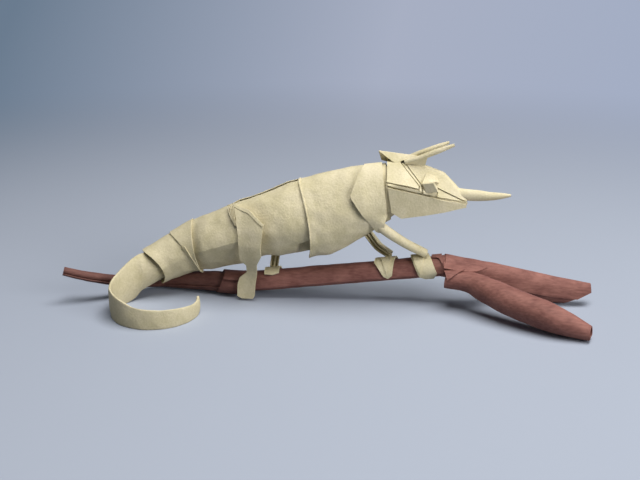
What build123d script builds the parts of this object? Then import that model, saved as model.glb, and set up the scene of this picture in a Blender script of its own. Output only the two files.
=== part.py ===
"""Origami chameleon gripping a folded-paper branch.

Two physical pieces: the chameleon, folded from one cream sheet, and the branch,
folded from one red-brown sheet. Both are hollow shells of a few layers of paper.
Millimetres. +X runs from the tail to the snout, +Y is the far side, +Z is up.
The shapes are laid out around the branch's middle plane and moved at the end,
so that the origin is on the floor under the middle of the whole model.
"""
from build123d import *
import math
import os

# Driving sizes
wall = 0.8                  # a few layers of folded paper
gap_depth = 4.0             # how deep the gap under a sleeve's rim is
head_gap_depth = 1.9        # and under the rear edge of the head
web = 1.0                   # joins a sleeve to the one under it, at the end of the gap
layer = 0.9                 # height of a folded flap above the sheet under it
pleat_lift = 0.7            # height of the pleat's raised band
brow_lift = 0.6             # height of the upper head over the cheek
hem = 1.4                   # width of the folded hem on the rib sleeve's rim
hem_lift = 0.4              # and its height
slit_half = 0.3             # half the gap where the sheet's edges meet along the back
far_reach = 40.0            # longer than any flap is deep, for cutting it out
body_facets = 24            # flat facets round the body
roll_facets = 16            # and round a rolled limb, horn or leaf
move_x = 6.4                # from the layout's origin to the middle of the model
move_y = 16.4

# The body, as rings across it: top point, bottom point (x, z) and half width
tail_seam = ((-99.8, 25.0), (-91.4, 6.8), 8.0)
pleat_rear = ((-87.0, 32.8), (-75.2, 11.8), 9.5)
pleat_front = ((-76.0, 38.8), (-71.6, 12.0), 10.8)
hip = ((-55.6, 48.3), (-49.4, 17.4), 13.4)
rib_seam = ((-21.6, 61.8), (-16.2, 22.2), 14.6)
chest = ((-9.0, 65.6), (-8.2, 23.4), 14.8)
shoulder = ((10.4, 70.0), (12.4, 35.0), 13.2)
neck = ((20.6, 71.0), (23.8, 43.0), 10.0)
nape = ((27.5, 71.2), (28.5, 46.5), 8.2)
rib_rim = ((-21.6, 60.7), (-16.2, 25.6), 13.4)

# The tail: a flat roll standing on its edge, curled towards the viewer
curl_radius = 20.5
curl_x = -88.6
curl_y = -27.3
curl_start = 128.0          # where the body's bend runs into the curl, in degrees
tail_step = 8.5             # degrees between the tail's sections
bend_turn = math.radians(curl_start - 90)
curl_start_x = curl_x + curl_radius * math.cos(math.radians(curl_start))
curl_start_y = curl_y + curl_radius * math.sin(math.radians(curl_start))
bend_radius = -curl_start_y / (1 - math.cos(bend_turn))
bend_start = curl_start_x + bend_radius * math.sin(bend_turn)

# The branch: a rolled tube rising towards the head
branch_radius = 5.5
inner_roll = 5.1            # under the roll's free edge
branch_wall = 1.0
branch_low = (-54.0, 6.3)   # x and z of its axis at the knuckle
branch_high = (52.0, 20.0)  # and at the fork
grip_gap = 0.3              # between the branch and the paws
grip_wall = 1.3             # a paw's folded layers
beside = branch_radius + grip_gap + grip_wall   # from the branch's axis to a paw's outside
branch_run = branch_high[0] - branch_low[0]
branch_rise = branch_high[1] - branch_low[1]
branch_length = math.hypot(branch_run, branch_rise)
branch_way = (branch_run / branch_length, 0, branch_rise / branch_length)


def sideways(x):
    """Y and turn of the body's middle at x: straight, then bent towards the viewer."""
    if x >= bend_start:
        return 0.0, 0.0
    turn = math.asin((bend_start - x) / bend_radius)
    return bend_radius * (math.cos(turn) - 1), turn


def between(ring_a, ring_b, share):
    """The ring at a share of the way from ring_a to ring_b, or past either."""
    top, bottom = [
        tuple(a + share * (b - a) for a, b in zip(ring_a[end], ring_b[end]))
        for end in (0, 1)
    ]
    return top, bottom, ring_a[2] + share * (ring_b[2] - ring_a[2])


def ahead(ring_a, ring_b, distance):
    """The ring a distance in millimetres from ring_a towards ring_b."""
    run = (ring_b[0][0] + ring_b[1][0] - ring_a[0][0] - ring_a[1][0]) / 2
    return between(ring_a, ring_b, distance / abs(run))


def over_branch(x, height):
    """Z of a point a height above the paws' inside, over the branch's axis at x."""
    share = (x - branch_low[0]) / branch_run
    return branch_low[1] + share * branch_rise + branch_radius + grip_gap + height


def oval(half_width, half_height, facets):
    """Corners of an ellipse folded in flat facets."""
    turns = [2 * math.pi * number / facets for number in range(facets)]
    return [(half_width * math.cos(turn), half_height * math.sin(turn)) for turn in turns]


def arc_band(inner, outer, from_angle, to_angle):
    """Flat band between two radii and two angles."""
    with BuildSketch() as band:
        with BuildLine():
            for radius in (inner, outer):
                CenterArc((0, 0), radius, from_angle, to_angle - from_angle)
            for angle in (from_angle, to_angle):
                side = Vector(1, 0).rotate(Axis.Z, angle)
                Line(side * inner, side * outer)
        make_face()
    return band.sketch


def sleeve(rings, grow=0.0):
    """Solid form of one stretch of the body through its rings, grown by a thickness."""
    with BuildPart() as form:
        for top, bottom, half_width in rings:
            middle_x = (top[0] + bottom[0]) / 2
            middle_z = (top[1] + bottom[1]) / 2
            lean = math.atan2(bottom[0] - top[0], top[1] - bottom[1])
            y, turn = sideways(middle_x)
            level = (math.cos(turn), math.sin(turn))
            plane = Plane(
                origin=(middle_x, y, middle_z),
                x_dir=(-level[1], level[0], 0),
                z_dir=(math.cos(lean) * level[0], math.cos(lean) * level[1], math.sin(lean)),
            )
            outline = oval(half_width + grow, math.dist(top, bottom) / 2 + grow, body_facets)
            with BuildSketch(plane):
                with BuildLine():
                    Polyline(*outline, close=True)
                make_face()
        loft(ruled=True)
    return form.part


def prism(outline, near=-far_reach, far=far_reach):
    """Block with a side-view outline (x, z), from y = near to y = far."""
    with BuildPart() as block:
        with BuildSketch(Plane.XZ.offset(-far)):
            with BuildLine():
                Polyline(*outline, close=True)
            make_face()
        extrude(amount=far - near)
    return block.part


def stop_plane(stops, number):
    """Plane across a limb at one of its stops, facing along the limb, with its x to the far side."""
    before = Vector(*stops[max(number - 1, 0)][:3])
    after = Vector(*stops[min(number + 1, len(stops) - 1)][:3])
    along = after - before
    return Plane(origin=stops[number][:3], x_dir=Vector(0, 0, 1).cross(along), z_dir=along)


def roll(stops, grow=0.0):
    """Rolled paper through stops of x, y, z, half width and half height."""
    with BuildPart() as limb:
        for number, stop in enumerate(stops):
            with BuildSketch(stop_plane(stops, number)):
                with BuildLine():
                    Polyline(*oval(stop[3] + grow, stop[4] + grow, roll_facets), close=True)
                make_face()
        loft(ruled=True)
    return limb.part


def channel(stops):
    """Strip folded to a channel open to the viewer, through stops of x, y, z, depth and half height."""
    with BuildPart() as limb:
        for number, stop in enumerate(stops):
            depth, half = stop[3:]
            outline = [(0, -half), (depth, -half), (depth, half), (0, half)]
            outline += [(0, half - wall), (depth - wall, half - wall)]
            outline += [(depth - wall, wall - half), (0, wall - half)]
            with BuildSketch(stop_plane(stops, number)):
                with BuildLine():
                    Polyline(*outline, close=True)
                make_face()
        loft(ruled=True)
    return limb.part


# The tail's stations: degrees round the curl, bottom and top edge, thickness.
# Those before the curl's start follow the body's bend; the lowest are trimmed to the floor.
tail_stations = [
    (113, 10.0, 26.9, 11.6),
    (121, 7.0, 25.0, 11.0),
    (128, 4.4, 24.0, 8.8),
    (140, 1.2, 22.2, 5.6),
    (153, -1.0, 19.6, 3.4),
    (170, -1.0, 16.6, 2.2),
    (190, -1.0, 15.0, 1.6),
    (210, -1.0, 14.4, 1.4),
    (232, -1.0, 13.0, 1.4),
    (254, -1.0, 11.1, 1.4),
    (278, -1.0, 9.9, 1.4),
    (302, -1.0, 9.4, 1.4),
    (326, -1.0, 8.4, 1.4),
    (348, -1.0, 7.2, 1.3),
    (368, -1.0, 6.4, 1.2),
]


def tail_size(angle):
    """Bottom edge, top edge and thickness of the tail at an angle round the curl."""
    for before, after in zip(tail_stations, tail_stations[1:]):
        if angle <= after[0]:
            share = (angle - before[0]) / (after[0] - before[0])
            return [a + share * (b - a) for a, b in zip(before[1:], after[1:])]
    return tail_stations[-1][1:]


def tail_form(last_angle, shrink=0.0):
    """Tail with a lens section: thin edges at top and bottom, thickest at mid height."""
    first_angle = tail_stations[0][0]
    count = round((last_angle - first_angle) / tail_step)
    with BuildPart() as form:
        for number in range(count + 1):
            angle = first_angle + number * (last_angle - first_angle) / count
            bottom, top, thickness = tail_size(angle)
            swing = math.radians(angle)
            if angle >= curl_start:
                x = curl_x + curl_radius * math.cos(swing)
                y = curl_y + curl_radius * math.sin(swing)
            else:
                x = bend_start + bend_radius * math.cos(swing)
                y = bend_radius * (math.sin(swing) - 1)
            out = (math.cos(swing), math.sin(swing))
            half = thickness / 2 - shrink
            edge = min(0.7 * half, 0.6)
            low = bottom + shrink
            high = top - shrink
            middle = (low + high) / 2
            section = [(edge, low), (half, middle), (edge, high)]
            section += [(-edge, high), (-half, middle), (-edge, low)]
            with BuildSketch(Plane(origin=(x, y, 0), x_dir=(*out, 0), z_dir=(out[1], -out[0], 0))):
                with BuildLine():
                    Polyline(*section, close=True)
                make_face()
        loft(ruled=True)
    return form.part


# Head sections: x, then the heights of ridge, cheek and jaw, then their half widths
head_stations = [
    (21.6, 72.0, 63.2, 49.2, 2.6, 11.6, 7.0),
    (29.0, 72.2, 63.2, 46.5, 2.6, 10.8, 5.6),
    (40.0, 69.8, 60.0, 48.0, 2.2, 9.2, 4.6),
    (49.0, 66.6, 56.0, 49.2, 1.8, 6.8, 3.6),
    (55.0, 60.6, 53.8, 50.2, 1.5, 4.2, 2.6),
    (60.4, 54.4, 52.6, 50.8, 0.9, 1.8, 1.3),
]


def head_form(stations, grow=0.0):
    """Folded head: a ridge on top, cheeks widest at the mouth, a narrow jaw below."""
    with BuildPart() as form:
        for x, ridge, cheek, jaw, ridge_half, cheek_half, jaw_half in stations:
            far = [(ridge_half, ridge + grow), (cheek_half + grow, cheek), (jaw_half + grow, jaw - grow)]
            near = [(-y, z) for y, z in reversed(far)]
            with BuildSketch(Plane.YZ.offset(x)):
                with BuildLine():
                    Polyline(*far, *near, close=True)
                make_face()
        loft(ruled=True)
    return form.part


def head_ring(distance):
    """The head's rear section, moved a distance towards the snout."""
    return (head_stations[0][0] + distance, *head_stations[0][1:])


def paw(from_angle, to_angle, near_outline, far_outline):
    """Paw wrapped round the branch between two angles, cut to its side-view outlines.

    0 degrees is the far side, 90 the top, 180 the near side and 270 underneath.
    """
    places = [x for x, z in near_outline + far_outline]
    start = min(places) - branch_radius
    inner = branch_radius + grip_gap
    origin = (start, 0, over_branch(start, -inner))
    with BuildPart() as cutter:
        add(prism(near_outline, far=0))
        add(prism(far_outline, near=0))
    with BuildPart() as band:
        with BuildSketch(Plane(origin=origin, x_dir=(0, 1, 0), z_dir=branch_way)):
            add(arc_band(inner, beside, from_angle, to_angle))
        extrude(amount=max(places) + branch_radius - start)
        add(cutter.part, mode=Mode.INTERSECT)
    return band.part


def hanging_strip(path, start, end):
    """Strip of folded paper whose end view (y, z) follows a path, from x = start to end."""
    with BuildPart() as strip:
        with BuildSketch(Plane.YZ.offset(start)):
            with BuildLine():
                Polyline(*path)
            trace(line_width=grip_wall)
        extrude(amount=end - start)
    return strip.part


# Side-view outlines (x, z) of the flaps on the body and head
thigh = [(-53.4, 54.0), (-50.2, 44.6), (-49.4, 38.0), (-48.9, 27.0), (-38.2, 27.0)]
thigh += [(-38.0, 33.0), (-36.4, 42.8), (-50.0, 55.0)]
shank = [(-49.4, 40.0), (-48.9, 27.0), (-46.6, 23.0), (-46.4, 18.0), (-49.2, 14.6), (-51.8, 11.6)]
shank += [(-52.4, 1.8), (-44.4, 1.2), (-43.3, 7.5), (-42.4, 12.5), (-41.2, 19.0)]
shank += [(-39.8, 23.4), (-37.8, 29.0), (-37.0, 40.0)]
upper_arm = [(11.2, 76.0), (4.9, 57.2), (7.2, 52.0), (11.4, 46.0), (15.0, 42.4)]
upper_arm += [(20.4, 42.4), (23.0, 50.2), (21.8, 64.0), (20.6, 76.0)]
upper_head = [(18.0, 64.0), (30.0, 63.6), (38.0, 61.0), (46.6, 56.8), (56.0, 53.2), (62.0, 52.0)]
upper_head += [(62.0, 80.0), (18.0, 80.0)]
mouth_pleat = [(22.4, 66.0), (29.5, 65.4), (38.2, 62.4), (38.8, 60.8), (29.6, 63.8), (22.4, 64.2)]
cheek_strap = [(27.6, 76.0), (30.2, 76.0), (39.8, 61.4), (38.6, 60.4)]
near_paw = [(34.7, 30.0), (34.7, 24.0), (35.5, 22.5), (38.3, 15.1), (41.2, 13.4), (45.2, 12.7)]
near_paw += [(47.4, 15.2), (44.4, 26.3), (44.4, 30.0)]
near_paw_back = [(36.0, 10.0), (43.6, 10.0), (43.6, 30.0), (36.0, 30.0)]
far_paw = [(17.0, 30.0), (17.1, 22.2), (21.2, 17.5), (23.4, 17.0), (25.2, 18.0), (27.2, 25.7), (27.2, 30.0)]
far_paw_back = [(24.6, 5.0), (31.0, 5.0), (31.0, 30.0), (24.6, 30.0)]
hind_paw = [(-38.4, 8.0), (-30.4, 8.0), (-30.4, 20.0), (-38.4, 20.0)]
hood_side = [(17.3, 79.0), (17.3, 77.2), (24.2, 70.8), (28.2, 71.8), (33.8, 74.0), (36.0, 75.2)]
hood_side += [(36.0, 79.0)]

# Body: sleeves of folded sheet, the rim of each lying over the one behind it
rear_sleeves = [
    sleeve([tail_seam, pleat_rear]),
    sleeve([pleat_rear, pleat_front], pleat_lift),
    sleeve([pleat_front, hip]),
    sleeve([hip, ahead(rib_rim, hip, -gap_depth - web / 2)]),
    sleeve([hip, rib_seam], layer) & prism(thigh),
]
front_sleeves = [
    sleeve([rib_seam, chest, shoulder, neck, nape]),
    sleeve([rib_seam, ahead(rib_seam, chest, hem)], hem_lift),
    sleeve([chest, shoulder, neck], layer) & prism(upper_arm),
]
head = [
    head_form(head_stations),
    head_form(head_stations, brow_lift) & prism(upper_head),
    head_form(head_stations, layer) & prism(mouth_pleat),
    head_form(head_stations, layer) & prism(cheek_strap),
]
tail = tail_form(tail_stations[-1][0])

# Gaps under the three rims, and the hollows inside
throat = between(neck, nape, 0.8)
tail_gap = sleeve([ahead(tail_seam, pleat_rear, -web), ahead(tail_seam, pleat_rear, gap_depth)], -wall)
rib_gap = sleeve([ahead(rib_seam, chest, -web), ahead(rib_seam, chest, gap_depth)], -wall)
head_gap = head_form([head_ring(-web), head_ring(head_gap_depth)], -wall)
hollows = [
    sleeve([ahead(tail_seam, pleat_rear, gap_depth + web), pleat_rear, pleat_front, hip], -wall),
    sleeve([hip, ahead(rib_rim, hip, -gap_depth - 2 * web)], -wall),
    sleeve([ahead(rib_seam, chest, gap_depth + web), chest, shoulder, neck, throat], -wall),
    head_form([head_ring(head_gap_depth + web), *head_stations[1:5]], -wall),
    tail_form(tail_stations[3][0], wall),
]

# The sheet's two edges meet along the back between the hip and the rib sleeve
slit_outline = [(-46.0, 46.0), (-23.0, 55.0), (-23.0, 66.0), (-46.0, 60.0)]
spine_slit = prism(slit_outline, near=-slit_half, far=slit_half)

# Legs: flat folded strips behind, a rolled forearm and a channel in front
near_hind_path = [(-13.9, 40.0), (-14.2, 33.0), (-12.8, 26.0), (-beside - 1.1, 16.5)]
near_hind_path += [(-beside, 12.5), (-beside, 0.8)]
near_hind_leg = hanging_strip(near_hind_path, -54.0, -36.0) & prism(shank, near=-far_reach, far=0)
far_hind_x = (-37.4, -32.2)
far_hind_path = [(13.9, 40.0), (14.2, 33.0), (12.6, 26.0), (beside + 1.1, 19.0)]
far_hind_path += [(2.4, over_branch(far_hind_x[0], 0.5))]
far_hind_leg = hanging_strip(far_hind_path, *far_hind_x)
near_forearm_stops = [
    (13.0, -9.0, 48.5, 3.4, 3.6),
    (21.0, -9.0, 40.8, 2.9, 2.9),
    (31.5, -6.0, 32.8, 2.6, 2.6),
    (41.5, -2.0, over_branch(41.5, 2.4), 2.3, 2.3),
]
far_forearm_stops = [
    (8.0, 8.0, 40.0, 2.6, 1.9),
    (12.6, 7.6, 32.2, 2.6, 1.9),
    (18.3, 5.2, 25.8, 2.6, 1.8),
    (23.4, 1.2, over_branch(23.4, 1.8), 2.6, 1.6),
]
paws = [
    paw(-60, 236, near_paw, near_paw_back),
    paw(-60, 200, far_paw, far_paw_back),
    paw(40, 142, hind_paw, hind_paw),
]

# Horns: two over the brows and one on the nose
near_horn_stops = [
    (28.5, -2.6, 72.4, 1.9, 1.6),
    (36.5, -3.4, 75.1, 1.5, 1.3),
    (44.5, -4.0, 78.5, 1.2, 1.1),
    (53.0, -4.2, 82.0, 0.6, 0.6),
]
far_horn_stops = [
    (28.5, 2.6, 72.4, 1.9, 1.6),
    (36.5, 3.4, 75.1, 1.5, 1.3),
    (44.5, 4.0, 78.5, 1.2, 1.1),
    (50.8, 4.2, 81.0, 0.6, 0.6),
]
nose_horn_stops = [
    (55.0, 0.0, 57.2, 2.2, 2.8),
    (63.0, 0.0, 56.5, 1.9, 2.7),
    (71.5, 0.0, 56.2, 1.5, 1.9),
    (81.4, 0.0, 56.8, 0.5, 0.5),
]

# Hood: a small tent over the back of the head, open behind
hood_peak = (16.0, 0.0, 77.6)
hood_length = 21.0
hood_slope = -0.12          # of its ridge, towards the snout
hood_fold = [(-4.1, -7.6), (0.0, -0.8), (4.1, -7.6)]    # the folded sheet, seen from behind

with BuildPart() as hood:
    with BuildSketch(Plane(origin=hood_peak, x_dir=(0, 1, 0), z_dir=(1, 0, hood_slope))):
        with BuildLine():
            Polyline(*hood_fold)
        trace(line_width=wall)
    extrude(amount=hood_length)
    add(prism(hood_side), mode=Mode.INTERSECT)

# Eyes: square turrets with a sunk face
eye_place = (42.3, 62.4)    # x and z
eye_half = 2.9
eye_rim = 0.6
eye_depth = 1.0
eye_face = 10.6             # the face's distance from the middle plane
eye_root = 4.0              # and its other end's, inside the head
eye_turn = 20               # degrees

with BuildPart() as eyes:
    with BuildSketch(Plane.XZ.offset(eye_root)):
        with Locations(eye_place):
            Rectangle(2 * eye_half, 2 * eye_half, rotation=eye_turn)
    extrude(amount=eye_face - eye_root)
    with BuildSketch(Plane.XZ.offset(eye_face)):
        with Locations(eye_place):
            Rectangle(2 * (eye_half - eye_rim), 2 * (eye_half - eye_rim), rotation=eye_turn)
    extrude(amount=-eye_depth, mode=Mode.SUBTRACT)
    mirror(about=Plane.XZ)

with BuildPart() as chameleon_shell:
    add(head)
    add(head_gap, mode=Mode.SUBTRACT)
    add(front_sleeves)
    add(rib_gap, mode=Mode.SUBTRACT)
    add(rear_sleeves)
    add(tail_gap, mode=Mode.SUBTRACT)
    add(tail)
    add([*hollows, spine_slit], mode=Mode.SUBTRACT)
    add([near_hind_leg, far_hind_leg, roll(near_forearm_stops), channel(far_forearm_stops), *paws])
    add([roll(near_horn_stops), roll(far_horn_stops), roll(nose_horn_stops), hood.part, eyes.part])
    split(bisect_by=Plane.XY)

with BuildPart() as chameleon:
    with Locations((move_x, move_y, 0)):
        add(chameleon_shell.part)

# Branch: a rolled tube, knuckled where its thin tail end is pushed in
knuckle_stops = [
    (-66.5, 0.5, 7.4, 5.5, 5.5),
    (-60.0, 0.5, 7.4, 6.5, 6.5),
    (-54.0, 0.2, 6.4, 6.3, 6.4),
    (-47.0, 0.0, 7.2, 5.3, 5.3),
]
thin_end_stops = [
    (-53.5, 0.2, 6.9, 4.0, 4.0),
    (-64.0, 0.8, 7.2, 4.2, 4.2),
    (-78.0, 3.0, 6.0, 4.3, 4.3),
    (-92.0, 3.4, 5.4, 3.8, 3.8),
    (-104.0, -3.6, 6.6, 3.3, 3.3),
    (-117.0, -13.0, 10.8, 2.8, 2.8),
    (-127.0, -18.0, 14.2, 2.5, 2.5),
    (-137.0, -20.6, 17.4, 2.3, 2.3),
]
# The two leaves at the fork: rolls that spread and come down to the floor
rear_leaf_stops = [
    (50.5, 0.0, 19.8, 6.2, 6.1),
    (60.0, 0.5, 18.0, 5.6, 6.2),
    (76.0, 2.0, 14.6, 4.8, 6.6),
    (95.0, 3.5, 9.7, 4.4, 7.3),
    (109.0, 4.3, 6.9, 3.9, 7.0),
    (127.0, 5.0, 4.4, 3.0, 6.6),
]
front_leaf_stops = [
    (51.0, -8.0, 14.7, 3.0, 3.0),
    (58.0, -8.4, 15.0, 4.2, 4.2),
    (63.5, -9.4, 15.0, 5.2, 5.2),
    (71.0, -14.0, 13.6, 6.3, 6.3),
    (82.0, -22.0, 11.4, 7.1, 7.1),
    (97.0, -31.0, 8.8, 7.0, 7.0),
    (107.0, -35.5, 6.4, 5.4, 5.4),
    (117.0, -39.4, 2.6, 2.4, 2.4),
]
leaf_end = [(109.4, -5.0), (109.4, 0.0), (118.7, 4.8), (124.8, 7.9), (123.8, 14.0)]
leaf_end += [(140.0, 14.0), (140.0, -5.0)]

# The main stretch: its outer layer ends in a free edge on the near side, below the middle
free_edges = (20, 200)      # degrees from the far side, over the top
branch_plane = Plane(origin=(branch_low[0], 0, branch_low[1]), x_dir=(0, 1, 0), z_dir=branch_way)

with BuildPart() as branch_roll:
    with BuildSketch(branch_plane):
        Circle(inner_roll)
        add(arc_band(inner_roll - branch_wall, branch_radius, *free_edges))
    extrude(amount=branch_length)

with BuildPart() as branch_bore:
    with BuildSketch(branch_plane):
        Circle(inner_roll - branch_wall)
    extrude(amount=branch_length + branch_wall)

with BuildPart() as branch_shell:
    add([roll(knuckle_stops), branch_roll.part])
    add(roll(rear_leaf_stops))
    add(prism(leaf_end), mode=Mode.SUBTRACT)
    add(roll(front_leaf_stops))
    add(roll(knuckle_stops[:2], -branch_wall), mode=Mode.SUBTRACT)
    add(roll(thin_end_stops))
    add(roll(thin_end_stops, -branch_wall), mode=Mode.SUBTRACT)
    add(branch_bore.part, mode=Mode.SUBTRACT)
    add(roll(rear_leaf_stops, -branch_wall), mode=Mode.SUBTRACT)
    add(roll(front_leaf_stops, -branch_wall), mode=Mode.SUBTRACT)
    split(bisect_by=Plane.XY)

with BuildPart() as branch:
    with Locations((move_x, move_y, 0)):
        add(branch_shell.part)

chameleon.part.label = "chameleon"
branch.part.label = "branch"
os.makedirs("parts", exist_ok=True)
export_step(chameleon.part, "parts/chameleon.step")
export_step(branch.part, "parts/branch.step")
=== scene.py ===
import bisect
import math

import bmesh
import bpy
from mathutils import Matrix, Vector, noise


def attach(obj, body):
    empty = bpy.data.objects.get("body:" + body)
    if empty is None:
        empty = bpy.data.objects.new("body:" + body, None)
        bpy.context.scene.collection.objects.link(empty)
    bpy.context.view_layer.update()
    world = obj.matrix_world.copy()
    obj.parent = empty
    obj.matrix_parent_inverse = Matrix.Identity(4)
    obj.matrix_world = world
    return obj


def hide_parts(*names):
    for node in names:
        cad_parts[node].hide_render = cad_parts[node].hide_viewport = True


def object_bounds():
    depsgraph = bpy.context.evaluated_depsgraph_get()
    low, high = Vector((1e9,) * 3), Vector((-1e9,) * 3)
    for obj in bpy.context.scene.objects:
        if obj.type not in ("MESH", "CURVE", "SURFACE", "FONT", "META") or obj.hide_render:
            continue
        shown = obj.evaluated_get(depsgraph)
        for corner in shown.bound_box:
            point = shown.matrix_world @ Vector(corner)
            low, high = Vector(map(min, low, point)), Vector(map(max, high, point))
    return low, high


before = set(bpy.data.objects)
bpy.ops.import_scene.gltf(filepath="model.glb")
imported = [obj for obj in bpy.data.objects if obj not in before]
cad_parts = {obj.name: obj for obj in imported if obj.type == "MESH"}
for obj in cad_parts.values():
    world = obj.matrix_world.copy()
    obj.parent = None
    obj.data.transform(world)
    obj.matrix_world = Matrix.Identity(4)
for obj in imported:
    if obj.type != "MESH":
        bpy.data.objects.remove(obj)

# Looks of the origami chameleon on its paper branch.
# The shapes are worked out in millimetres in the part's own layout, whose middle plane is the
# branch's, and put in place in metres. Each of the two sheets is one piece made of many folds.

cad_low, cad_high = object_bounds()

# Sizes shared by every fold
mm = 0.001
move = Vector((6.4, 16.4, 0.0))      # from the layout's origin to the frame's
paper_thick = 0.45                   # one folded edge of the cream sheet
thin_edge = 0.35                     # a single layer of it
closed_skin = 0.3                    # skin of its closed forms, whose edges don't show
brown_thick = 0.55                   # a folded edge of the brown sheet
brown_thin = 0.5                     # its finer parts
edge_round = 0.1                     # rounding of a paper edge
floor_gap = 0.05                     # how far the lowest edges stand above the floor
row_step = 1.0                       # between a sleeve's rows of points
near = -1                            # sign of y on the viewer's side
far = 1

cream_folds = []
brown_folds = []


# Curves through stops

def tangent(before, after):
    """Slope at a stop between two runs, so that the curve doesn't overshoot."""
    if before * after <= 0:
        return 0.0
    return 2 * before * after / (before + after)


def smooth(knots, stops, at):
    """Values at a place among the knots, on a curve through the stops."""
    last = len(knots) - 1
    at = min(max(at, knots[0]), knots[-1])
    number = max(0, min(last - 1, bisect.bisect_right(knots, at) - 1))
    gaps = [b - a for a, b in zip(knots, knots[1:])]
    gap = gaps[number]
    share = (at - knots[number]) / gap
    values = []
    for column in zip(*stops):
        slopes = [(b - a) / run for a, b, run in zip(column, column[1:], gaps)]
        here = slopes[number]
        start = tangent(slopes[number - 1], here) if number else here
        end = tangent(here, slopes[number + 1]) if number + 1 < last else here
        bend = share * share * (3 - 2 * share)
        value = column[number] + bend * (column[number + 1] - column[number])
        value += gap * share * (1 - share) * ((1 - share) * start - share * end)
        values.append(value)
    return values


def straight(knots, stops, at):
    """Values at a place among the knots, on straight runs between the stops."""
    at = min(max(at, knots[0]), knots[-1])
    number = max(0, min(len(knots) - 2, bisect.bisect_right(knots, at) - 1))
    share = (at - knots[number]) / (knots[number + 1] - knots[number])
    return [a + share * (b - a) for a, b in zip(stops[number], stops[number + 1])]


def lengths_along(stops):
    """Distance of each stop along the path through their first three values."""
    total = [0.0]
    for before, after in zip(stops, stops[1:]):
        total.append(total[-1] + (Vector(after[:3]) - Vector(before[:3])).length)
    return total


def ease(value, low, high):
    """0 below low, 1 above high, and a soft step between them."""
    share = min(max((value - low) / (high - low), 0.0), 1.0)
    return share * share * (3 - 2 * share)


# Surfaces

def lattice(rows, closed=False):
    """Points and faces of a surface given as rows of points."""
    width = len(rows[0])
    points = [point for row in rows for point in row]
    faces = []
    for row in range(len(rows) - 1):
        for column in range(width if closed else width - 1):
            first = row * width + column
            second = row * width + (column + 1) % width
            faces.append((first, second, second + width, first + width))
    return points, faces


def cut_sheet(outline, step):
    """Flat points and faces of an outline, cut into a grid so that it can bend."""
    flat = bmesh.new()
    flat.faces.new([flat.verts.new((*corner, 0.0)) for corner in outline])
    for axis in (0, 1):
        low = min(corner[axis] for corner in outline)
        high = max(corner[axis] for corner in outline)
        for number in range(1, int((high - low) / step) + 1):
            spot = Vector((0, 0, 0))
            spot[axis] = low + number * step
            facing = Vector((0, 0, 0))
            facing[axis] = 1
            everything = [*flat.verts, *flat.edges, *flat.faces]
            bmesh.ops.bisect_plane(flat, geom=everything, plane_co=spot, plane_no=facing)
    flat.verts.index_update()
    points = [(corner.co.x, corner.co.y) for corner in flat.verts]
    faces = [[corner.index for corner in face.verts] for face in flat.faces]
    flat.free()
    return points, faces


def relief(point, depth):
    """Soft dents and creases of hand-folded paper at a point of the layout."""
    broad = noise.noise(point / 13.0)
    small = noise.noise(point / 4.6 + Vector((7, 3, 1)))
    crease = abs(noise.noise(point / 10.0 + Vector((2, 9, 4))))
    return depth * (0.6 * broad + 0.3 * small - 0.9 * crease)


def trim(mesh, cuts):
    """Cuts away what lies beyond each of some planes, given as a point and an outward normal."""
    surface = bmesh.new()
    surface.from_mesh(mesh)
    for spot, facing in cuts:
        everything = [*surface.verts, *surface.edges, *surface.faces]
        bmesh.ops.bisect_plane(
            surface, geom=everything, dist=1e-4, plane_co=spot, plane_no=facing, clear_outer=True,
        )
    surface.to_mesh(mesh)
    surface.free()


def fold(folds, points, faces, thick, dents=0.3, cuts=()):
    """Makes a surface into paper of some thickness and adds it to a sheet's folds."""
    mesh = bpy.data.meshes.new("fold")
    mesh.from_pydata([Vector(point) for point in points], [], faces)
    trim(mesh, cuts)
    mesh.update()
    shifts = [corner.normal * relief(corner.co, dents) for corner in mesh.vertices]
    for corner, shift in zip(mesh.vertices, shifts):
        spot = corner.co + shift
        spot.z = max(spot.z, floor_gap + thick / 2)
        spot = (spot + move) * mm
        for axis in range(3):        # the paper's middle stays inside the CAD box
            low = cad_low[axis] + thick * mm / 2
            high = cad_high[axis] - thick * mm / 2
            spot[axis] = min(max(spot[axis], low), high)
        corner.co = spot
    piece = bpy.data.objects.new("fold", mesh)
    bpy.context.scene.collection.objects.link(piece)
    solid = piece.modifiers.new("thickness", "SOLIDIFY")
    solid.thickness = thick * mm
    solid.offset = 0
    rounding = piece.modifiers.new("rounding", "BEVEL")
    rounding.width = edge_round * mm
    rounding.segments = 1
    rounding.limit_method = "ANGLE"
    rounding.angle_limit = math.radians(50)
    folds.append(piece)


def flap(folds, outline, to_space, thick, step=1.0, dents=0.25):
    """Adds a flat outline bent to its place by a function from its two coordinates."""
    points, faces = cut_sheet(outline, step)
    fold(folds, [to_space(*point) for point in points], faces, thick, dents)


def join(folds, name, material, node):
    """Makes one piece of a sheet's folds, which stands for a node of the frame."""
    graph = bpy.context.evaluated_depsgraph_get()
    whole = bmesh.new()
    for piece in folds:
        mesh = bpy.data.meshes.new_from_object(piece.evaluated_get(graph))
        whole.from_mesh(mesh)
        bpy.data.meshes.remove(mesh)
    mesh = bpy.data.meshes.new(name)
    whole.to_mesh(mesh)
    whole.free()
    for piece in folds:
        bpy.data.objects.remove(piece)
    mesh.polygons.foreach_set("use_smooth", [True] * len(mesh.polygons))
    mesh.set_sharp_from_angle(angle=math.radians(32))
    mesh.materials.append(material)
    sheet = bpy.data.objects.new(name, mesh)
    bpy.context.scene.collection.objects.link(sheet)
    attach(sheet, "root")
    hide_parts(node)
    return sheet


# Camera: the photograph's view

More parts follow.
